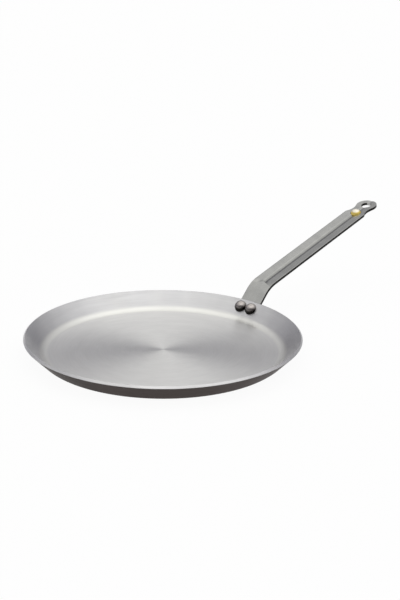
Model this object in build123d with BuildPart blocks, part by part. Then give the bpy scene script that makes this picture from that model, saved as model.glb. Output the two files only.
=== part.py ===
"""Carbon-steel crepe pan: a pressed dish, a strip handle, two rivets and a badge stud.

Millimetres. The origin is the centre of the dish's underside, +Z is up, and the handle runs along +X.
"""
import os
from math import asin, cos, degrees, radians, sin, sqrt, tan

from build123d import *

# Dish, one pressed sheet
RIM_R = 120.0  # to the outer corner of the rim, before it is rounded
PAN_H = 17.5  # underside to the top of the rim, before its corners are rounded
SHEET_T = 2.5
WALL_SLOPE = 45.5  # degrees, wall against floor
FLOOR_BEND_R = 8.0  # inside radius between floor and wall
RIM_ROUND = 0.3

# Handle, one strip of the same steel
STRIP_W = 22.8
STRIP_T = 2.5
FOOT_L = 15.0  # on the wall, below the rim
FOOT_CORNER_R = 5.0
FOOT_RISE = 11.3  # straight run from the rim to the bend
HANDLE_SLOPE = 14.6  # degrees, the straight part against the floor
BEND_R = 31.2  # the bend's upper face
EYE_X = 168.7  # the bend's end to the centre of the hanging hole
HOLE_R = 5.1
NECK_IN = 3.0  # each side of the neck, inside the strip's edge
EYE_OUT = 2.1  # the eye's radius beyond half the neck's width
NECK_BACK = 10.8  # the neck's narrowest place to the hole's centre
SHOULDER_R = 4.0
STRIP_ROUND = 0.4

# Pressed fold along the handle's middle
LIP_W = 1.2  # flat edge outside the fold
CHANNEL_W = 6.0  # steeper middle of the fold
CHANNEL_DEPTH = 0.75  # where the steeper middle starts
FOLD_DEPTH = 1.6
FOLD_APEX = 3.3  # the fold's start on the middle line, back from the bend's end
FOLD_WINGS = 8.4  # the fold's start at the lips, back from the bend's end
FOLD_ENTRY = 2.0  # length over which the fold sinks to its depth
FOLD_END = 148.0  # the bend's end to where the fold starts to flatten
FOLD_EASE = 14.0  # length over which it flattens towards the eye
EYE_FOLD = 0.9  # depth of the fold that is left across the eye

# Rivets
RIVET_PITCH = 12.1
RIVET_DROP = 7.7  # below the rim, along the wall
SHANK_R = 2.5
HEAD_R = 5.8
HEAD_H = 5.1
TAIL_R = 4.4
TAIL_H = 1.8

# Badge stud in the fold, before the eye
BADGE_X = 149.9  # the bend's end to the stud's axis
BADGE_R = 5.3
BADGE_H = 4.4
BADGE_SKIRT = 0.3  # upright edge under the dome
BADGE_SINK = 0.2  # its seat lies this far below the fold's middle
BADGE_GAP = 0.2  # open ring round it in its seat
STUD_R = 2.0
STUD_TAIL_R = 3.4
STUD_TAIL_H = 0.9

OVERRUN = 5.0  # cutters reach this far past what they cut

slope = radians(WALL_SLOPE)
lean = radians(HANDLE_SLOPE)
corner_h = PAN_H - SHEET_T * cos(slope)
corner_r = RIM_R - corner_h / tan(slope)
inner_corner_r = corner_r - SHEET_T * tan(slope / 2)

# The flat strip is let in by as much as the round wall falls back at the strip's edges
half_w = STRIP_W / 2
foot_sink = (corner_r - sqrt(corner_r**2 - half_w**2)) * sin(slope)


def wall_plane(azimuth: float, drop: float, height: float = 0.0) -> Plane:
    """Plane on the outer wall, x up the wall and z into the dish.

    Args:
        azimuth: degrees from the handle's middle line.
        drop: distance below the rim's outer corner, along the wall.
        height: distance from the outer wall towards the inside of the dish.
    """
    turn = radians(azimuth)
    radius = RIM_R - drop * cos(slope) - height * sin(slope)
    rise = corner_h - drop * sin(slope) + height * cos(slope)
    return Plane(
        origin=(radius * cos(turn), radius * sin(turn), rise),
        x_dir=(cos(slope) * cos(turn), cos(slope) * sin(turn), sin(slope)),
        z_dir=(-sin(slope) * cos(turn), -sin(slope) * sin(turn), cos(slope)),
    )


foot_plane = wall_plane(0, 0, foot_sink)
bend_start = foot_plane.from_local_coords(Vector(FOOT_RISE, 0, 0))
foot_section_plane = Plane(origin=bend_start, x_dir=(0, -1, 0), z_dir=-foot_plane.x_dir)
bend_centre = foot_plane.from_local_coords(Vector(FOOT_RISE, 0, -BEND_R))
bend_axis = Axis(bend_centre, (0, -1, 0))
straight_start = bend_centre + Vector(-sin(lean), 0, cos(lean)) * BEND_R

# On the straight plane x runs up the handle; on the section plane x is +Y and y is the strip's normal
straight_plane = Plane(origin=straight_start, x_dir=(cos(lean), 0, sin(lean)), z_dir=(-sin(lean), 0, cos(lean)))
section_plane = Plane(origin=straight_start, x_dir=(0, 1, 0), z_dir=(cos(lean), 0, sin(lean)))

rivet_r = RIM_R - RIVET_DROP * cos(slope)
rivet_azimuth = degrees(asin(RIVET_PITCH / 2 / rivet_r))
rivet_fall = (rivet_r - sqrt(rivet_r**2 - (RIVET_PITCH / 2) ** 2)) * sin(slope)
rivet_planes = {
    "rivet_left": wall_plane(rivet_azimuth, RIVET_DROP),
    "rivet_right": wall_plane(-rivet_azimuth, RIVET_DROP),
}

os.makedirs("parts", exist_ok=True)

# Dish: floor, bend, straight sloping wall and a rim cut square to the wall, each corner with its radius
outer_corner = (corner_r, 0)
outer_rim = (RIM_R, corner_h)
inner_rim = (RIM_R - SHEET_T * sin(slope), PAN_H)
inner_corner = (inner_corner_r, SHEET_T)
dish_rounds = {
    outer_corner: FLOOR_BEND_R + SHEET_T,
    outer_rim: RIM_ROUND,
    inner_rim: RIM_ROUND,
    inner_corner: FLOOR_BEND_R,
}
with BuildPart() as pan_body:
    with BuildSketch(Plane.XZ):
        with BuildLine():
            Polyline((0, 0), *dish_rounds, (0, SHEET_T), close=True)
        make_face()
        for corner, corner_round in dish_rounds.items():
            fillet(vertices().sort_by_distance(corner)[0], corner_round)
    revolve(axis=Axis.Z)
    with BuildSketch(*rivet_planes.values()):
        Circle(SHANK_R)
    extrude(amount=SHEET_T + OVERRUN, both=True, mode=Mode.SUBTRACT)
pan_body.part.label = "pan_body"
export_step(pan_body.part, "parts/pan_body.step")


# Sections across the strip, x to its left edge and y out of its upper face
fold_half = half_w - LIP_W


def fold_section(depth: float) -> Sketch:
    """Section of the folded strip, a valley above and the same ridge below.

    Args:
        depth: height of the lips over the middle, which stays where it is along the handle.

    Returns:
        The section on the XY plane.
    """
    channel = FOLD_DEPTH - (FOLD_DEPTH - CHANNEL_DEPTH) * depth / FOLD_DEPTH
    lip = FOLD_DEPTH - depth
    right = [(-half_w, -lip), (-fold_half, -lip), (-CHANNEL_W / 2, -channel)]
    upper = [*right, (0, -FOLD_DEPTH), *((-x, y) for x, y in reversed(right))]
    under = [(x, y - STRIP_T) for x, y in reversed(upper)]
    with BuildSketch(Plane.XY) as section:
        with BuildLine():
            Polyline(*upper, *under, close=True)
        make_face()
        sides = vertices().group_by(Axis.X)
        fillet(sides[0] + sides[-1], STRIP_ROUND)
    return section.sketch


folded_section = fold_section(FOLD_DEPTH)
eye_section = fold_section(EYE_FOLD)
with BuildSketch(Plane.XY) as flat_section:
    with Locations((0, -STRIP_T / 2)):
        Rectangle(STRIP_W, STRIP_T)
    fillet(vertices(), STRIP_ROUND)

# The strip stays flat inside this wedge, whose point looks up the handle
wing_step = (FOLD_WINGS - FOLD_APEX) / fold_half
sink_step = FOLD_ENTRY / FOLD_DEPTH
wedge_half = half_w + OVERRUN
with BuildPart() as flat_wedge:
    for level in (OVERRUN, -STRIP_T - FOLD_DEPTH - OVERRUN):
        apex_x = -FOLD_APEX - sink_step * level
        wing_x = apex_x - wing_step * wedge_half
        with BuildSketch(straight_plane.offset(level)):
            with BuildLine():
                Polyline((wing_x, -wedge_half), (apex_x, 0), (wing_x, wedge_half))
                Polyline((wing_x, wedge_half), (-BEND_R, wedge_half), (-BEND_R, -wedge_half), (wing_x, -wedge_half))
            make_face()
    loft(ruled=True)

# Straight part: the folded strip, trimmed to the outline of shoulder, neck and eye
neck_half = half_w - NECK_IN
eye_r = neck_half + EYE_OUT
neck_x = EYE_X - NECK_BACK
neck_r = (NECK_BACK**2 + neck_half**2 - eye_r**2) / (2 * EYE_OUT)
shoulder_x = neck_x - sqrt(neck_r**2 - (neck_r + neck_half - half_w) ** 2)
eye_share = eye_r / (eye_r + neck_r)
eye_join = (EYE_X - NECK_BACK * eye_share, (neck_r + neck_half) * eye_share)
tip_x = EYE_X + eye_r
with BuildPart() as folded_strip:
    with BuildSketch(section_plane):
        add(folded_section)
    extrude(amount=FOLD_END)
    with BuildSketch(section_plane.offset(FOLD_END)):
        add(folded_section)
    with BuildSketch(section_plane.offset(FOLD_END + FOLD_EASE)):
        add(eye_section)
    loft(ruled=True)
    with BuildSketch(section_plane.offset(FOLD_END + FOLD_EASE)):
        add(eye_section)
    extrude(amount=tip_x - FOLD_END - FOLD_EASE)
    with BuildSketch(straight_plane):
        with BuildLine():
            Line((0, 0), (0, half_w))
            Line((0, half_w), (shoulder_x, half_w))
            ThreePointArc((shoulder_x, half_w), (neck_x, neck_half), eye_join)
            ThreePointArc(eye_join, (EYE_X, eye_r), (tip_x, 0))
            mirror(about=Plane.XZ)
        make_face()
        shoulders = [side.sort_by(Axis.X)[-1] for side in (vertices().group_by(Axis.Y)[i] for i in (0, -1))]
        fillet(shoulders, SHOULDER_R)
    extrude(amount=STRIP_T + FOLD_DEPTH + OVERRUN, both=True, mode=Mode.INTERSECT)
    with BuildSketch(section_plane):
        add(folded_section)
    revolve(axis=bend_axis, revolution_arc=WALL_SLOPE - HANDLE_SLOPE)
    add(flat_wedge.part, mode=Mode.SUBTRACT)

# Flat part: the foot with its round corners, then the bend inside the wedge
with BuildPart() as foot:
    with BuildSketch(foot_section_plane):
        add(flat_section.sketch)
    extrude(amount=FOOT_RISE + FOOT_L)
    with BuildSketch(foot_plane):
        with Locations(((FOOT_RISE - FOOT_L) / 2, 0)):
            Rectangle(FOOT_RISE + FOOT_L, STRIP_W)
        fillet(vertices().group_by(Axis.X)[0], FOOT_CORNER_R)
    extrude(amount=-STRIP_T - OVERRUN, mode=Mode.INTERSECT)
with BuildPart() as flat_strip:
    with BuildSketch(section_plane):
        add(flat_section.sketch)
    extrude(amount=STRIP_T + FOLD_DEPTH + OVERRUN)
    with BuildSketch(section_plane):
        add(flat_section.sketch)
    revolve(axis=bend_axis, revolution_arc=WALL_SLOPE - HANDLE_SLOPE)
    add(flat_wedge.part, mode=Mode.INTERSECT)

# Handle: foot, bend and straight part in one, seated on the dish, with its holes
badge_seat = -FOLD_DEPTH - BADGE_SINK
with BuildPart() as handle:
    add(foot.part)
    add(flat_strip.part)
    add(folded_strip.part)
    add(pan_body.part, mode=Mode.SUBTRACT)
    with BuildSketch(*rivet_planes.values()):
        Circle(SHANK_R)
    extrude(amount=STRIP_T + OVERRUN, both=True, mode=Mode.SUBTRACT)
    with BuildSketch(straight_plane):
        with Locations((EYE_X, 0)):
            Circle(HOLE_R)
        with Locations((BADGE_X, 0)):
            Circle(STUD_R)
    extrude(amount=STRIP_T + FOLD_DEPTH + OVERRUN, both=True, mode=Mode.SUBTRACT)
    with BuildSketch(straight_plane.offset(badge_seat)):
        with Locations((BADGE_X, 0)):
            Circle(BADGE_R + BADGE_GAP)
    extrude(amount=OVERRUN, mode=Mode.SUBTRACT)
handle.part.label = "handle"
export_step(handle.part, "parts/handle.step")


def stud_profile(shank_r: float, head: tuple, tail: tuple) -> Sketch:
    """Half of a headed stud, x its radius and y its axis.

    Args:
        shank_r: radius of the shank.
        head: the head's radius, height, base level and the depth of its edge under the base.
        tail: the same four for the formed end.

    Returns:
        The profile on the XY plane.
    """
    head_r, head_h, head_base, head_edge = head
    tail_r, tail_h, tail_base, tail_edge = tail
    with BuildSketch(Plane.XY) as profile:
        with BuildLine():
            TangentArc((0, head_base + head_h), (head_r, head_base), tangent=(1, 0))
            Polyline(
                (head_r, head_base),
                (head_r, head_base - head_edge),
                (shank_r, head_base - head_edge),
                (shank_r, tail_base + tail_edge),
                (tail_r, tail_base + tail_edge),
                (tail_r, tail_base),
            )
            TangentArc((0, tail_base - tail_h), (tail_r, tail_base), tangent=(1, 0))
            Line((0, tail_base - tail_h), (0, head_base + head_h))
        make_face()
    return profile.sketch


# Rivets: domed head inside the dish, formed end under the foot, both bedded on what they clamp
foot_under = foot_sink + rivet_fall - STRIP_T
rivet_profile = stud_profile(
    SHANK_R,
    head=(HEAD_R, HEAD_H, SHEET_T, SHEET_T / 4),
    tail=(TAIL_R, TAIL_H, foot_under, STRIP_T / 4),
)
for name, plane in rivet_planes.items():
    with BuildPart() as rivet:
        with BuildSketch(Plane(plane.origin, x_dir=plane.x_dir, z_dir=plane.x_dir.cross(plane.z_dir))):
            add(rivet_profile)
        revolve(axis=Axis(plane.origin, plane.z_dir))
        add(pan_body.part, mode=Mode.SUBTRACT)
        add(handle.part, mode=Mode.SUBTRACT)
    rivet.part.label = name
    export_step(rivet.part, f"parts/{name}.step")

# Badge: plain dome on its seat, its shank through the fold and a low formed end under the ridge
badge_centre = straight_plane.from_local_coords(Vector(BADGE_X, 0, 0))
badge_profile = stud_profile(
    STUD_R,
    head=(BADGE_R, BADGE_H, badge_seat + BADGE_SKIRT, BADGE_SKIRT),
    tail=(STUD_TAIL_R, STUD_TAIL_H, -STRIP_T - FOLD_DEPTH, STRIP_T / 2),
)
with BuildPart() as badge:
    with BuildSketch(Plane(badge_centre, x_dir=straight_plane.x_dir, z_dir=(0, -1, 0))):
        add(badge_profile)
    revolve(axis=Axis(badge_centre, straight_plane.z_dir))
    add(handle.part, mode=Mode.SUBTRACT)
badge.part.label = "badge"
export_step(badge.part, "parts/badge.step")
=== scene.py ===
"""Looks of a carbon-steel crepe pan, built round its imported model.

The dish, the strip handle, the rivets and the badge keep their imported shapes. This file gives
them their spun, rolled, polished and gilt metal, and sets the studio: camera, floor and sky.
"""

import logging
import math
from dataclasses import dataclass
from enum import Enum
from typing import Any, Iterable

import bpy
from mathutils import Matrix, Vector

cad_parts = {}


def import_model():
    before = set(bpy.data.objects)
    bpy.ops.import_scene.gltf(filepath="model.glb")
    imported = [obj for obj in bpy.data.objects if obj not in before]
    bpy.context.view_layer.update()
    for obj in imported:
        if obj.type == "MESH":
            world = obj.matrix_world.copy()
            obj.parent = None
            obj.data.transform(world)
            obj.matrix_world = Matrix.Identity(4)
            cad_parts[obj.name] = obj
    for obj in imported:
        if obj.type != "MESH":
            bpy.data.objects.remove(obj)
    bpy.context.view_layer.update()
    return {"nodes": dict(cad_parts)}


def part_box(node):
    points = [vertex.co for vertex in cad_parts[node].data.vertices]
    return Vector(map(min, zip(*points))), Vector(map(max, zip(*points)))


LOG = logging.getLogger("crepe_pan")

Socket = bpy.types.NodeSocket
Triple = tuple[float, float, float]
Colour = Triple
Span = tuple[float, float]


class Slot(Enum):
    """The record's material slots."""

    PAN = "pan_steel"
    HANDLE = "handle_steel"
    RIVET = "rivet_steel"
    BADGE = "badge_brass"


def scaled(colour: Colour, factor: float) -> Colour:
    """A colour made darker or lighter by one factor."""
    return tuple(factor * c for c in colour)


class Tree:
    """A node tree with short calls for the nodes that the finishes and the studio use."""

    def __init__(self, tree: bpy.types.NodeTree) -> None:
        """Wraps the node tree of a material, a world or a group."""
        self.tree = tree

    def node(self, kind: str, **settings: Any) -> bpy.types.Node:
        """Adds a node.

        Args:
            kind: the node's type name, without its ShaderNode prefix.
            settings: attributes to set on it.

        Returns:
            The new node.
        """
        prefix = "" if kind.startswith("Node") else "ShaderNode"
        node = self.tree.nodes.new(prefix + kind)
        for name, value in settings.items():
            setattr(node, name, value)
        return node

    def feed(self, socket: Socket, value: Any) -> None:
        """Links or sets one input.

        Args:
            socket: the input.
            value: another node's output, or a plain value.
        """
        if isinstance(value, bpy.types.NodeSocket):
            self.tree.links.new(value, socket)
        else:
            socket.default_value = value

    def maths(self, operation: str, *values: Any, clamp: bool = False) -> Socket:
        """Adds a Math node.

        Args:
            operation: the operation's name.
            values: its inputs, sockets or numbers.
            clamp: whether the result is held between 0 and 1.

        Returns:
            The result.
        """
        node = self.node("Math", operation=operation, use_clamp=clamp)
        for socket, value in zip(node.inputs, values):
            self.feed(socket, value)
        return node.outputs[0]

    def times(self, first: Any, second: Any) -> Socket:
        """Multiplies two numbers."""
        return self.maths("MULTIPLY", first, second)

    def vector_maths(self, operation: str, *values: Any) -> Socket:
        """Adds a Vector Math node.

        Args:
            operation: the operation's name.
            values: the inputs that the operation uses, in order: sockets, vectors or numbers.

        Returns:
            The output that the operation uses, a vector or a number.
        """
        node = self.node("VectorMath", operation=operation)
        for socket, value in zip([s for s in node.inputs if s.enabled], values):
            self.feed(socket, value)
        return next(s for s in node.outputs if s.enabled)

    def joined(self, *parts: Any) -> Socket:
        """Joins three numbers into a vector.

        Args:
            parts: its X, Y and Z, sockets or numbers.

        Returns:
            The vector.
        """
        node = self.node("CombineXYZ")
        for socket, value in zip(node.inputs, parts):
            self.feed(socket, value)
        return node.outputs[0]

    def parts(self, vector: Socket) -> Any:
        """Splits a vector.

        Args:
            vector: the vector.

        Returns:
            Its parts, by the names X, Y and Z.
        """
        node = self.node("SeparateXYZ")
        self.feed(node.inputs[0], vector)
        return node.outputs

    def ramp(
        self, value: Any, low: Any, high: Any, out_low: Any = 0.0, out_high: Any = 1.0
    ) -> Socket:
        """Maps a value smoothly from one range to another.

        Args:
            value: the input.
            low: where the output is out_low.
            high: where the output is out_high.
            out_low: the output at and below low.
            out_high: the output at and above high.

        Returns:
            The mapped value.
        """
        node = self.node("MapRange", interpolation_type="SMOOTHSTEP")
        for socket, given in zip(node.inputs, (value, low, high, out_low, out_high)):
            self.feed(socket, given)
        return node.outputs[0]

    def fade(self, value: Any, low: Any, high: Any) -> Socket:
        """Falls smoothly from 1 at and below low to 0 at and above high."""
        return self.ramp(value, low, high, 1.0, 0.0)

    def mix(self, share: Any, first: Any, second: Any, blend: str = "MIX") -> Socket:
        """Mixes two colours.

        Args:
            share: how much of the second, from 0 to 1.
            first: the first colour.
            second: the second colour.
            blend: the blend type.

        Returns:
            The mixed colour.
        """
        node = self.node("Mix", data_type="RGBA", blend_type=blend)
        for name, value in (("Factor", share), ("A", first), ("B", second)):
            socket = next(s for s in node.inputs if s.name == name and s.enabled)
            if isinstance(value, tuple):
                value = (*value, 1.0)
            self.feed(socket, value)
        return next(s for s in node.outputs if s.enabled)

    def tint(self, share: Any, base: Any, shade: Colour) -> Socket:
        """Multiplies a colour by a shade, as far as the share says."""
        return self.mix(share, base, shade, "MULTIPLY")

    def noise(self, vector: Socket, scale: Any, detail: float, rough: float) -> Socket:
        """Adds a noise texture.

        Args:
            vector: where it is read.
            scale: its scale.
            detail: its octaves.
            rough: how strong the finer octaves are.

        Returns:
            The noise, from 0 to 1.
        """
        node = self.node("TexNoise")
        self.feed(node.inputs["Vector"], vector)
        self.feed(node.inputs["Scale"], scale)
        self.feed(node.inputs["Detail"], detail)
        self.feed(node.inputs["Roughness"], rough)
        return node.outputs["Fac"]

    def bump(self, height: Socket, distance: float, strength: float = 1.0) -> Socket:
        """Adds a Bump node.

        Args:
            height: the height, from 0 to 1.
            distance: what a height of 1 is, in metres.
            strength: how much of it is used.

        Returns:
            The bent normal.
        """
        node = self.node("Bump")
        self.feed(node.inputs["Height"], height)
        self.feed(node.inputs["Distance"], distance)
        self.feed(node.inputs["Strength"], strength)
        return node.outputs["Normal"]


class Effect:
    """A shader node group, built once and placed in each material with its own values."""

    name: str = "effect"
    inputs: tuple[tuple[str, str, Any], ...] = ()
    outputs: tuple[tuple[str, str], ...] = ()

    @classmethod
    def group(cls) -> bpy.types.NodeTree:
        """Makes the group on first use, and finds it after that.

        Returns:
            The group's tree.
        """
        found = bpy.data.node_groups.get(cls.name)
        if found:
            return found
        tree = bpy.data.node_groups.new(cls.name, "ShaderNodeTree")
        for name, kind, default in cls.inputs:
            kind = f"NodeSocket{kind}"
            socket = tree.interface.new_socket(name, in_out="INPUT", socket_type=kind)
            if default is not None:
                socket.default_value = default
        for name, kind in cls.outputs:
            kind = f"NodeSocket{kind}"
            tree.interface.new_socket(name, in_out="OUTPUT", socket_type=kind)
        nodes = Tree(tree)
        source = nodes.node("NodeGroupInput")
        sink = nodes.node("NodeGroupOutput")
        made = cls.build(nodes, source.outputs)
        for name, _ in cls.outputs:
            nodes.feed(sink.inputs[name], made[name])
        return tree

    @classmethod
    def build(cls, nodes: Tree, given: Any) -> dict[str, Socket]:
        """Builds the group's inside.

        Args:
            nodes: the group's tree.
            given: the group's inputs by name.

        Returns:
            The socket for each output name.
        """
        raise NotImplementedError

    @classmethod
    def place(cls, nodes: Tree, **values: Any) -> Any:
        """Places the group in a material.

        Args:
            nodes: the material's tree.
            values: inputs by name, with underscores for spaces.

        Returns:
            The group's outputs by name.
        """
        node = nodes.node("Group", node_tree=cls.group())
        for name, value in values.items():
            nodes.feed(node.inputs[name.replace("_", " ")], value)
        return node.outputs


class SpunGrain(Effect):
    """Brush lines and wider bands round the dish's axis, and fans that spread from it."""

    name = "spun_grain"
    inputs = (
        ("Place", "Vector", None),
        ("Lines per metre", "Float", 900.0),
        ("Arc breaks", "Float", 3.0),
    )
    outputs = (("Lines", "Float"), ("Bands", "Float"), ("Fans", "Float"))
    bands_per_metre: float = 120.0
    fan_scale: float = 3.2
    fan_shift: Triple = (4.7, 2.1, 0.0)

    @classmethod
    def build(cls, nodes: Tree, given: Any) -> dict[str, Socket]:
        """Reads noise on the radius, with the direction as its slow coordinate, so without a seam.

        Args:
            nodes: the group's tree.
            given: the group's inputs by name.

        Returns:
            The lines, bands and fans.
        """
        at = nodes.parts(given["Place"])
        flat = nodes.joined(at["X"], at["Y"], 0.0)
        way = nodes.vector_maths("NORMALIZE", flat)
        turn = nodes.parts(nodes.vector_maths("SCALE", way, given["Arc breaks"]))
        reach = nodes.maths("ADD", nodes.vector_maths("LENGTH", flat), at["Z"])
        fine, wide = (
            nodes.joined(turn["X"], turn["Y"], nodes.times(reach, per_metre))
            for per_metre in (given["Lines per metre"], cls.bands_per_metre)
        )
        shifted = nodes.vector_maths("ADD", way, cls.fan_shift)
        return {
            "Lines": nodes.noise(fine, scale=1.0, detail=4.0, rough=0.65),
            "Bands": nodes.noise(wide, scale=1.0, detail=2.0, rough=0.5),
            "Fans": nodes.noise(shifted, cls.fan_scale, detail=2.0, rough=0.5),
        }


class RolledGrain(Effect):
    """Fine lines along the strip, left by rolling, with a soft cloudiness over them."""

    name = "rolled_grain"
    inputs = (
        ("Place", "Vector", None),
        ("Lines per metre", "Float", 1500.0),
        ("Stretch", "Float", 0.03),
    )
    outputs = (("Lines", "Float"), ("Cloud", "Float"))
    clouds_per_metre: float = 90.0

    @classmethod
    def build(cls, nodes: Tree, given: Any) -> dict[str, Socket]:
        """Reads stretched noise for the lines and plain noise for the cloud.

        Args:
            nodes: the group's tree.
            given: the group's inputs by name.

        Returns:
            The lines and the cloud.
        """
        pull = nodes.joined(given["Stretch"], 1.0, given["Stretch"])
        drawn = nodes.vector_maths("MULTIPLY", given["Place"], pull)
        return {
            "Lines": nodes.noise(drawn, given["Lines per metre"], detail=3.0, rough=0.6),
            "Cloud": nodes.noise(given["Place"], cls.clouds_per_metre, detail=4.0, rough=0.6),
        }


class Wear(Effect):
    """Handling marks: dull smudges and a few fine random scratches."""

    name = "wear"
    inputs = (
        ("Place", "Vector", None),
        ("Smudge scale", "Float", 22.0),
        ("Scratch scale", "Float", 60.0),
    )
    outputs = (("Smudge", "Float"), ("Scratch", "Float"))
    smudge_span: Span = (0.48, 0.68)
    scratch_span: Span = (0.66, 0.72)
    scratch_turn: Triple = (0.0, 0.3, 0.7)
    scratch_squeeze: Triple = (1.0, 14.0, 6.0)

    @classmethod
    def build(cls, nodes: Tree, given: Any) -> dict[str, Socket]:
        """Keeps the peaks of a soft noise for smudges and of a drawn-out one for scratches.

        Args:
            nodes: the group's tree.
            given: the group's inputs by name.

        Returns:
            The smudges and the scratches.
        """
        cloud = nodes.noise(given["Place"], given["Smudge scale"], detail=5.0, rough=0.62)
        skew = nodes.node("Mapping")
        nodes.feed(skew.inputs["Vector"], given["Place"])
        nodes.feed(skew.inputs["Rotation"], cls.scratch_turn)
        nodes.feed(skew.inputs["Scale"], cls.scratch_squeeze)
        thin = nodes.noise(skew.outputs[0], given["Scratch scale"], detail=2.0, rough=0.5)
        return {
            "Smudge": nodes.ramp(cloud, *cls.smudge_span),
            "Scratch": nodes.ramp(thin, *cls.scratch_span),
        }


class FaceMask(Effect):
    """Picks the faces of a piece by the way they look: a share from 0 to 1."""

    name = "face_mask"
    inputs = (("Way", "Vector", (0.0, 0.0, 1.0)), ("From", "Float", 0.2), ("To", "Float", 0.5))
    outputs = (("Share", "Float"),)

    @classmethod
    def build(cls, nodes: Tree, given: Any) -> dict[str, Socket]:
        """Compares the smooth normal with a direction of the object.

        Args:
            nodes: the group's tree.
            given: the group's inputs by name.

        Returns:
            The share.
        """
        normal = nodes.node("NewGeometry").outputs["Normal"]
        level = nodes.vector_maths("DOT_PRODUCT", normal, given["Way"])
        return {"Share": nodes.ramp(level, given["From"], given["To"])}

    @classmethod
    def share(cls, nodes: Tree, way: Triple, span: Span) -> Socket:
        """Picks the faces that look one way, from none at the span's start to all at its end."""
        return cls.place(nodes, Way=way, From=span[0], To=span[1])["Share"]


@dataclass(frozen=True)
class Finish:
    """A metal whose constants sit on the shader, and whose changes over the surface are fed."""

    name: str
    colour: Colour
    roughness: float
    anisotropy: float = 0.0
    rotation: float = 0.0
    metallic: float = 1.0

    def material(self) -> bpy.types.Material:
        """Makes the material.

        Returns:
            The material with its shader and effects.
        """
        material = bpy.data.materials.new(self.name)
        material.use_nodes = True
        nodes = Tree(material.node_tree)
        shader = next(n for n in material.node_tree.nodes if n.type == "BSDF_PRINCIPLED")
        shader.inputs["Metallic"].default_value = self.metallic
        shader.inputs["Base Color"].default_value = (*self.colour, 1.0)
        shader.inputs["Roughness"].default_value = self.roughness
        shader.inputs["Anisotropic"].default_value = self.anisotropy
        shader.inputs["Anisotropic Rotation"].default_value = self.rotation
        place = nodes.node("TexCoord").outputs["Object"]
        self.surface(nodes, shader, place)
        return material

    def surface(self, nodes: Tree, shader: bpy.types.Node, place: Socket) -> None:
        """Feeds the shader's changing inputs.

        Args:
            nodes: the material's tree.
            shader: its Principled BSDF.
            place: the piece's own coordinates, in metres.
        """
        raise NotImplementedError


@dataclass(frozen=True)
class SpunSteel(Finish):
    """The dish's steel: pale and brushed in circles inside, dull and painted dark on its outer
    face.

    A painted highlight makes a lighter, warmer ring round the bend, and painted shade makes the
    wall above it a little darker than the floor. The wall also has faint fans.
    """

    grain_span: Span = (0.3, 0.7)
    band_shades: Span = (0.98, 1.02)
    line_shade: Colour = (0.94, 0.94, 0.94)
    line_share: float = 0.5
    line_rough: float = 0.08
    line_depth: float = 0.000008
    bend: tuple[float, float, float, float] = (0.0985, 0.1015, 0.1045, 0.1075)
    # colour of the painted highlight round the bend
    bend_painted_highlight: Colour = (0.83, 0.825, 0.8)
    # painted shade: the wall is made a little darker than the floor
    wall_painted_shade: Colour = (0.94, 0.94, 0.955)
    fan_span: Span = (0.35, 0.65)
    fan_shade: Colour = (0.94, 0.94, 0.95)
    # painted shade: the outer face's near-black colour stands in for the dark it mirrors
    outside_painted_dark: Colour = (0.066, 0.053, 0.049)
    outside_span: Span = (0.1, 0.3)
    outside_rough: float = 0.12
    smudge_dark: float = 0.8
    smudge_rough: float = 0.03

    def surface(self, nodes: Tree, shader: bpy.types.Node, place: Socket) -> None:
        """Brushes the inside, and paints the outer face dark with painted shade.

        Args:
            nodes: the material's tree.
            shader: its Principled BSDF.
            place: the piece's own coordinates, in metres.
        """
        grain = SpunGrain.place(nodes, Place=place)
        smudge = Wear.place(nodes, Place=place)["Smudge"]
        down = FaceMask.share(nodes, (0.0, 0.0, -1.0), self.outside_span)
        lines = nodes.ramp(grain["Lines"], *self.grain_span)
        inside = self.inside(nodes, place, grain, lines)
        # painted shade on the outer face, with wear smudges over it
        outer = nodes.mix(smudge, self.outside_painted_dark, scaled(self.outside_painted_dark, self.smudge_dark))
        nodes.feed(shader.inputs["Base Color"], nodes.mix(down, inside, outer))
        least = self.roughness - self.line_rough / 2
        rough = nodes.maths("MULTIPLY_ADD", lines, self.line_rough, least)
        rough = nodes.maths("MULTIPLY_ADD", smudge, self.smudge_rough, rough)
        rough = nodes.maths("MULTIPLY_ADD", down, self.outside_rough, rough)
        nodes.feed(shader.inputs["Roughness"], rough)
        nodes.feed(shader.inputs["Normal"], nodes.bump(grain["Lines"], self.line_depth))
        tangent = nodes.node("Tangent", direction_type="RADIAL", axis="Z")
        nodes.feed(shader.inputs["Tangent"], tangent.outputs[0])

    def inside(self, nodes: Tree, place: Socket, grain: Any, lines: Socket) -> Socket:
        """Colours the inside by its lines and bands and by the distance from the axis.

        Args:
            nodes: the material's tree.
            place: the piece's own coordinates, in metres.
            grain: the spun grain's outputs by name.
            lines: the brush lines, from 0 to 1.

        Returns:
            The colour.
        """
        dark, light = (scaled(self.colour, factor) for factor in self.band_shades)
        bands = nodes.ramp(grain["Bands"], *self.grain_span)
        bright = nodes.mix(bands, dark, light)
        bright = nodes.tint(nodes.times(lines, self.line_share), bright, self.line_shade)
        flat = nodes.vector_maths("MULTIPLY", place, (1.0, 1.0, 0.0))
        radius = nodes.vector_maths("LENGTH", flat)
        rise, full, thin, gone = self.bend
        wall = nodes.ramp(radius, thin, gone)
        # painted shade darkens the wall
        bright = nodes.tint(wall, bright, self.wall_painted_shade)
        fans = nodes.ramp(grain["Fans"], *self.fan_span)
        bright = nodes.tint(nodes.times(fans, wall), bright, self.fan_shade)
        # painted highlight: a lighter, warmer ring round the bend
        ring = nodes.times(nodes.ramp(radius, rise, full), nodes.fade(radius, thin, gone))
        return nodes.mix(ring, bright, self.bend_painted_highlight)


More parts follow.
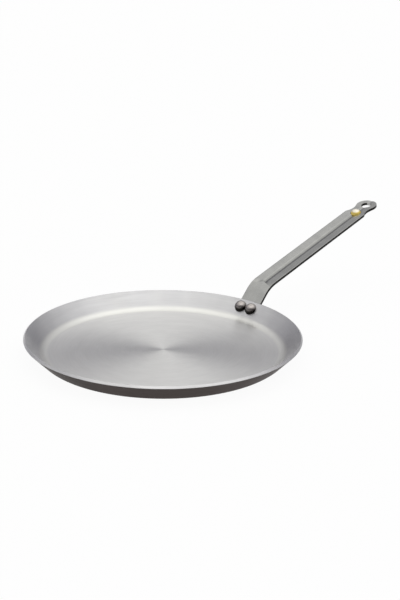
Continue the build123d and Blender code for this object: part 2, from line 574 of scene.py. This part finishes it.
@dataclass(frozen=True)
class StripSteel(Finish):
    """The handle's steel: rolled strip, satin on its faces, with painted shade on its cut sides.

    Painted shade darkens the fold, along its middle as far as fold_end and in a patch where it
    begins. Both are measured from fold_start, in metres. Their near edge lies apex_back before
    it on the middle line, and steps back to both sides.
    """

    cloud_span: Span = (0.3, 0.7)
    cloud_shades: Span = (0.93, 1.06)
    smudge_scale: float = 60.0
    smudge_shade: Colour = (0.88, 0.88, 0.9)
    smudge_share: float = 0.5
    line_rough: float = 0.12
    line_depth: float = 0.00002
    # sides is painted shade: the near-black colour of the cut sides
    sides: Colour = (0.018, 0.017, 0.016)
    side_span: Span = (0.3, 0.5)
    side_rough: float = 0.15
    # colour of the painted shade in the fold
    fold_painted_shade: Colour = (0.64, 0.64, 0.64)
    fold_start: Triple = (0.1426, 0.0, 0.03)
    along: Triple = (0.9677, 0.0, 0.2521)
    fold_half: float = 0.0034
    fold_end: float = 0.148
    end_fade: float = 0.01
    apex_back: float = 0.0033
    wing_step: float = 0.5
    patch_rise: float = 0.001
    patch_length: Span = (0.002, 0.007)
    patch_half: Span = (0.003, 0.007)

    def surface(self, nodes: Tree, shader: bpy.types.Node, place: Socket) -> None:
        """Draws the rolling lines, and paints shade in the fold and on the cut sides.

        Args:
            nodes: the material's tree.
            shader: its Principled BSDF.
            place: the piece's own coordinates, in metres.
        """
        grain = RolledGrain.place(nodes, Place=place)
        smudge = Wear.place(nodes, Place=place, Smudge_scale=self.smudge_scale)["Smudge"]
        left, right = (
            FaceMask.share(nodes, (0.0, way, 0.0), self.side_span) for way in (1.0, -1.0)
        )
        side = nodes.maths("MAXIMUM", left, right)
        dark, light = (scaled(self.colour, factor) for factor in self.cloud_shades)
        face = nodes.mix(nodes.ramp(grain["Cloud"], *self.cloud_span), dark, light)
        face = nodes.tint(nodes.times(smudge, self.smudge_share), face, self.smudge_shade)
        # painted shade in the fold's middle and where it begins
        face = nodes.tint(self.fold_shade_share(nodes, place), face, self.fold_painted_shade)
        # painted shade on the cut sides
        nodes.feed(shader.inputs["Base Color"], nodes.mix(side, face, self.sides))
        least = self.roughness - self.line_rough / 2
        rough = nodes.maths("MULTIPLY_ADD", grain["Lines"], self.line_rough, least)
        rough = nodes.maths("MULTIPLY_ADD", side, self.side_rough, rough)
        nodes.feed(shader.inputs["Roughness"], rough)
        nodes.feed(shader.inputs["Normal"], nodes.bump(grain["Lines"], self.line_depth))

    def fold_shade_share(self, nodes: Tree, place: Socket) -> Socket:
        """Finds the painted shade along the fold's middle and where the fold begins.

        Args:
            nodes: the material's tree.
            place: the piece's own coordinates, in metres.

        Returns:
            The share of painted shade, from 0 to 1.
        """
        off = nodes.maths("ABSOLUTE", nodes.parts(place)["Y"])
        from_start = nodes.vector_maths("SUBTRACT", place, self.fold_start)
        reach = nodes.vector_maths("DOT_PRODUCT", from_start, self.along)
        edge = nodes.maths("MULTIPLY_ADD", off, self.wing_step, self.apex_back)
        entry = nodes.maths("ADD", reach, edge)
        line = nodes.fade(off, 0.0, self.fold_half)
        before_end = nodes.fade(reach, self.fold_end, self.fold_end + self.end_fade)
        patch = nodes.times(
            nodes.fade(entry, *self.patch_length), nodes.fade(off, *self.patch_half)
        )
        # painted shade: scale here is the share of painted shade, not scale on the metal
        scale = nodes.maths("MAXIMUM", nodes.times(line, before_end), patch)
        return nodes.times(scale, nodes.ramp(entry, 0.0, self.patch_rise))


@dataclass(frozen=True)
class PolishedSteel(Finish):
    """The rivets' steel: its own colour on the crown, with painted shade low on the flank."""

    axis: Triple = (-0.35, 0.0, 0.937)
    crown_span: Span = (0.18, 0.8)
    # scale is painted shade: the near-black colour of the flank, not scale on the metal
    scale: Colour = (0.02, 0.018, 0.017)
    smudge_scale: float = 260.0
    smudge_dark: float = 0.86
    smudge_depth: float = 0.00003
    smudge_strength: float = 0.5
    scratch_scale: float = 420.0
    scratch_rough: float = 0.1

    def surface(self, nodes: Tree, shader: bpy.types.Node, place: Socket) -> None:
        """Adds handling marks to the crown, and painted shade on the flank.

        Args:
            nodes: the material's tree.
            shader: its Principled BSDF.
            place: the piece's own coordinates, in metres.
        """
        wear = Wear.place(
            nodes, Place=place, Smudge_scale=self.smudge_scale, Scratch_scale=self.scratch_scale
        )
        worn = nodes.mix(wear["Smudge"], self.colour, scaled(self.colour, self.smudge_dark))
        crown = FaceMask.share(nodes, self.axis, self.crown_span)
        # painted shade: the flank, away from the crown, takes the near-black colour
        nodes.feed(shader.inputs["Base Color"], nodes.mix(crown, self.scale, worn))
        rough = nodes.maths("MULTIPLY_ADD", wear["Scratch"], self.scratch_rough, self.roughness)
        nodes.feed(shader.inputs["Roughness"], rough)
        dents = nodes.bump(wear["Smudge"], self.smudge_depth, self.smudge_strength)
        nodes.feed(shader.inputs["Normal"], dents)


@dataclass(frozen=True)
class Gilt(Finish):
    """The badge's gilt: deeper in colour towards its edge, with a painted highlight on the crown.

    The edge's span is in shares of the radius.
    """

    centre: Triple = (0.0, 0.0, 0.0)
    radius: float = 0.0053
    edge: Colour = (1.0, 0.75, 0.15)
    edge_span: Span = (0.5, 1.1)
    axis: Triple = (-0.252, 0.0, 0.968)
    # painted highlight: the pale colour of the crown
    crown_painted_highlight: Colour = (1.0, 0.96, 0.9)
    crown_span: Span = (0.58, 0.82)
    crown_share: float = 0.85
    smudge_scale: float = 140.0
    smudge_shade: Colour = (0.9, 0.88, 0.82)
    smudge_share: float = 0.4
    scratch_scale: float = 500.0
    scratch_rough: float = 0.08

    def surface(self, nodes: Tree, shader: bpy.types.Node, place: Socket) -> None:
        """Deepens the edge, paints a pale highlight on the crown and adds handling marks.

        Args:
            nodes: the material's tree.
            shader: its Principled BSDF.
            place: the piece's own coordinates, in metres.
        """
        wear = Wear.place(
            nodes, Place=place, Smudge_scale=self.smudge_scale, Scratch_scale=self.scratch_scale
        )
        away = nodes.vector_maths("DISTANCE", place, self.centre)
        edge = nodes.ramp(away, *(share * self.radius for share in self.edge_span))
        gold = nodes.mix(edge, self.colour, self.edge)
        crown = FaceMask.share(nodes, self.axis, self.crown_span)
        # painted highlight pales the crown
        gold = nodes.mix(nodes.times(crown, self.crown_share), gold, self.crown_painted_highlight)
        smudge = nodes.times(wear["Smudge"], self.smudge_share)
        nodes.feed(shader.inputs["Base Color"], nodes.tint(smudge, gold, self.smudge_shade))
        rough = nodes.maths("MULTIPLY_ADD", wear["Scratch"], self.scratch_rough, self.roughness)
        nodes.feed(shader.inputs["Roughness"], rough)


@dataclass
class SubAssembly:
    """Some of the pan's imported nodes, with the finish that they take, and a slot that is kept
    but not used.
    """

    nodes: dict[str, bpy.types.Object]
    names: tuple[str, ...]
    slot: Slot

    def finish(self) -> Finish:
        """The metal that the pieces take."""
        raise NotImplementedError

    def build(self) -> list[bpy.types.Object]:
        """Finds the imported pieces, whose meshes stay as they are."""
        return [self.nodes[name] for name in self.names]

    def dress(self, pieces: Iterable[bpy.types.Object]) -> None:
        """Gives the pieces their metal.

        Args:
            pieces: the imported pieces.
        """
        material = self.finish().material()
        for piece in pieces:
            piece.data.materials.clear()
            piece.data.materials.append(material)


@dataclass
class Dish(SubAssembly):
    """The pressed dish."""

    names: tuple[str, ...] = ("pan_body",)
    slot: Slot = Slot.PAN

    def finish(self) -> Finish:
        """Spun steel."""
        steel = (0.76, 0.755, 0.75)
        return SpunSteel("spun_steel", steel, roughness=0.43, anisotropy=0.7, rotation=0.25)


@dataclass
class StripHandle(SubAssembly):
    """The riveted strip handle with its pressed fold."""

    names: tuple[str, ...] = ("handle",)
    slot: Slot = Slot.HANDLE

    def finish(self) -> Finish:
        """Rolled strip steel."""
        return StripSteel("strip_steel", colour=(0.38, 0.38, 0.37), roughness=0.22)


@dataclass
class Rivets(SubAssembly):
    """The two rivets."""

    names: tuple[str, ...] = ("rivet_left", "rivet_right")
    slot: Slot = Slot.RIVET

    def finish(self) -> Finish:
        """Polished steel."""
        return PolishedSteel("rivet_steel", colour=(0.44, 0.408, 0.393), roughness=0.26)


@dataclass
class Badge(SubAssembly):
    """The round gilt stud before the neck."""

    names: tuple[str, ...] = ("badge",)
    slot: Slot = Slot.BADGE

    def finish(self) -> Finish:
        """Gilt that is centred on the badge's own box.

        Returns:
            The finish.
        """
        low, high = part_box(self.names[0])
        return Gilt(
            "gilt",
            colour=(1.0, 0.8, 0.28),
            roughness=0.28,
            metallic=0.35,
            centre=tuple((low + high) / 2),
        )


@dataclass
class Studio:
    """Camera, floor and sky.

    Angles are in degrees, and handle_turn is the handle's angle in plan from the camera's
    right. The sky's pairs give a colour at each height from level, 0, to overhead, 1. The
    side shades are for the camera's left and right.
    """

    lens: float = 75.97
    film_width: float = 36.0
    eye_mm: Triple = (31.19, -1023.36, 396.63)
    tilt: float = 18.81
    roll: float = 0.777
    handle_turn: float = 49.25
    view_reach: float = 50.0
    floor_half: float = 12.0
    flat_share: float = 0.8
    floor_points: int = 48
    sweep_rise: float = 1.15
    floor_drop: float = 0.0004
    floor_white: float = 0.95
    paper: Colour = (0.9, 0.9, 0.9)
    sky: tuple[tuple[float, Colour], ...] = (
        (0.0, (0.03, 0.028, 0.045)),
        (0.22, (0.08, 0.078, 0.1)),
        (0.34, (0.42, 0.417, 0.44)),
        (0.5, (0.6, 0.6, 0.61)),
        (0.72, (1.12, 1.12, 1.11)),
        (0.91, (1.5, 1.5, 1.46)),
        (1.0, (0.95, 0.95, 0.94)),
    )
    side_span: Span = (-0.6, 0.6)
    low_sides: Span = (1.08, 0.9)
    high_sides: Span = (0.84, 1.0)
    lift_span: Span = (0.35, 0.65)
    behind_span: Span = (-0.75, -0.35)
    behind_share: float = 0.5
    key_back: float = 0.338
    key_up: float = 0.941
    key_span: Span = (0.86, 0.99)
    key_share: float = 0.45

    def camera(self) -> None:
        """Places the camera where the photograph was taken from."""
        tilt, roll, turn = (math.radians(a) for a in (self.tilt, self.roll, self.handle_turn))
        back = Vector((0.0, -math.cos(tilt), math.sin(tilt)))
        level = Vector((1.0, 0.0, 0.0))
        upright = back.cross(level)
        right = math.cos(roll) * level + math.sin(roll) * upright
        up = -math.sin(roll) * level + math.cos(roll) * upright
        view = Matrix((right, up, back)).transposed().to_4x4()
        view.translation = Vector(self.eye_mm) / 1000
        data = bpy.data.cameras.new("camera")
        data.sensor_fit = "AUTO"
        data.sensor_width = self.film_width
        data.lens = self.lens
        data.clip_end = self.view_reach
        camera = bpy.data.objects.new("camera", data)
        camera.matrix_world = Matrix.Rotation(-turn, 4, "Z") @ view
        bpy.context.scene.collection.objects.link(camera)
        bpy.context.scene.camera = camera

    def floor(self) -> None:
        """Lays the floor: a flat disc a hair below the dish, and a ring that rises far away."""
        count = self.floor_points
        turns = [2 * math.pi * i / count for i in range(count)]
        rings = (
            (self.flat_share * self.floor_half, -self.floor_drop),
            (self.floor_half, self.sweep_rise),
        )
        points = [
            (reach * math.cos(turn), reach * math.sin(turn), height)
            for reach, height in rings
            for turn in turns
        ]
        pairs = [(i, (i + 1) % count) for i in range(count)]
        sweep = [(count + i, count + after, after, i) for i, after in pairs]
        mesh = bpy.data.meshes.new("floor")
        mesh.from_pydata(points, [], [tuple(range(count)), *sweep])
        mesh.materials.append(self.floor_paper())
        floor = bpy.data.objects.new("floor", mesh)
        bpy.context.scene.collection.objects.link(floor)

    def floor_paper(self) -> bpy.types.Material:
        """Makes paper that reads white, keeps a soft shadow and is see-through from below.

        Returns:
            The floor's material.
        """
        material = bpy.data.materials.new("floor_paper")
        material.use_nodes = True
        nodes = Tree(material.node_tree)
        material.node_tree.nodes.clear()
        paper = nodes.node("BsdfDiffuse")
        paper.inputs["Color"].default_value = (*self.paper, 1.0)
        white = nodes.node("Emission")
        white.inputs["Color"].default_value = (1.0, 1.0, 1.0, 1.0)
        path = nodes.node("LightPath").outputs
        mirrored = nodes.maths("ADD", path["Is Glossy Ray"], path["Is Transmission Ray"])
        seen = nodes.maths("ADD", path["Is Camera Ray"], mirrored, clamp=True)
        above = nodes.node("MixShader")
        nodes.feed(above.inputs["Fac"], nodes.times(seen, self.floor_white))
        nodes.feed(above.inputs[1], paper.outputs[0])
        nodes.feed(above.inputs[2], white.outputs[0])
        both = nodes.node("MixShader")
        nodes.feed(both.inputs["Fac"], nodes.node("NewGeometry").outputs["Backfacing"])
        nodes.feed(both.inputs[1], above.outputs[0])
        nodes.feed(both.inputs[2], nodes.node("BsdfTransparent").outputs[0])
        out = nodes.node("OutputMaterial")
        nodes.feed(out.inputs["Surface"], both.outputs[0])
        return material

    def world(self) -> None:
        """Hangs a soft sky, dark at the horizon and brightest high up."""
        world = bpy.data.worlds.new("sky")
        world.use_nodes = True
        bpy.context.scene.world = world
        nodes = Tree(world.node_tree)
        world.node_tree.nodes.clear()
        way = nodes.node("TexCoord").outputs["Generated"]
        height = nodes.parts(nodes.vector_maths("NORMALIZE", way))["Z"]
        scale = nodes.node("ValToRGB")
        ramp = scale.color_ramp
        ramp.interpolation = "EASE"
        while len(ramp.elements) < len(self.sky):
            ramp.elements.new(1.0)
        for element, (level, colour) in zip(ramp.elements, self.sky):
            element.position = level
            element.color = (*colour, 1.0)
        nodes.feed(scale.inputs[0], height)
        light = nodes.node("Background")
        nodes.feed(light.inputs["Color"], scale.outputs["Color"])
        nodes.feed(light.inputs["Strength"], self.sky_strength(nodes, way, height))
        out = nodes.node("OutputWorld")
        nodes.feed(out.inputs["Surface"], light.outputs[0])

    def sky_strength(self, nodes: Tree, way: Socket, height: Socket) -> Socket:
        """Dims the sky behind the camera, shades its sides and adds a soft key high up.

        Args:
            nodes: the world's tree.
            way: the direction, fixed to the world.
            height: the direction's upward part.

        Returns:
            The strength.
        """
        turn = math.radians(self.handle_turn)
        right = (math.cos(turn), -math.sin(turn), 0.0)
        ahead = (math.sin(turn), math.cos(turn), 0.0)
        across = nodes.vector_maths("DOT_PRODUCT", way, right)
        low = nodes.ramp(across, *self.side_span, *self.low_sides)
        high = nodes.ramp(across, *self.side_span, *self.high_sides)
        lift = nodes.ramp(height, *self.lift_span)
        lower = nodes.times(low, nodes.maths("SUBTRACT", 1.0, lift))
        sides = nodes.maths("ADD", nodes.times(high, lift), lower)
        towards = nodes.vector_maths("DOT_PRODUCT", way, ahead)
        behind = nodes.ramp(towards, *self.behind_span, self.behind_share, 1.0)
        key = (-self.key_back * ahead[0], -self.key_back * ahead[1], self.key_up)
        near_key = nodes.vector_maths("DOT_PRODUCT", way, key)
        lit = nodes.ramp(near_key, *self.key_span, 1.0, 1.0 + self.key_share)
        return nodes.times(nodes.times(sides, behind), lit)

    def build(self) -> None:
        """Sets the whole studio."""
        bpy.context.scene.view_settings.view_transform = "Standard"
        self.camera()
        self.floor()
        self.world()


def main() -> None:
    """Builds the studio and dresses each sub-assembly, in order."""
    logging.basicConfig(level=logging.INFO, format="%(name)s: %(message)s")
    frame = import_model()
    Studio().build()
    LOG.info("studio set")
    for kind in (Dish, StripHandle, Rivets, Badge):
        assembly = kind(frame["nodes"])
        pieces = assembly.build()
        assembly.dress(pieces)
        for piece in pieces:
            LOG.info("%s wears %s", piece.name, piece.data.materials[0].name)


if __name__ == "__main__":
    main()
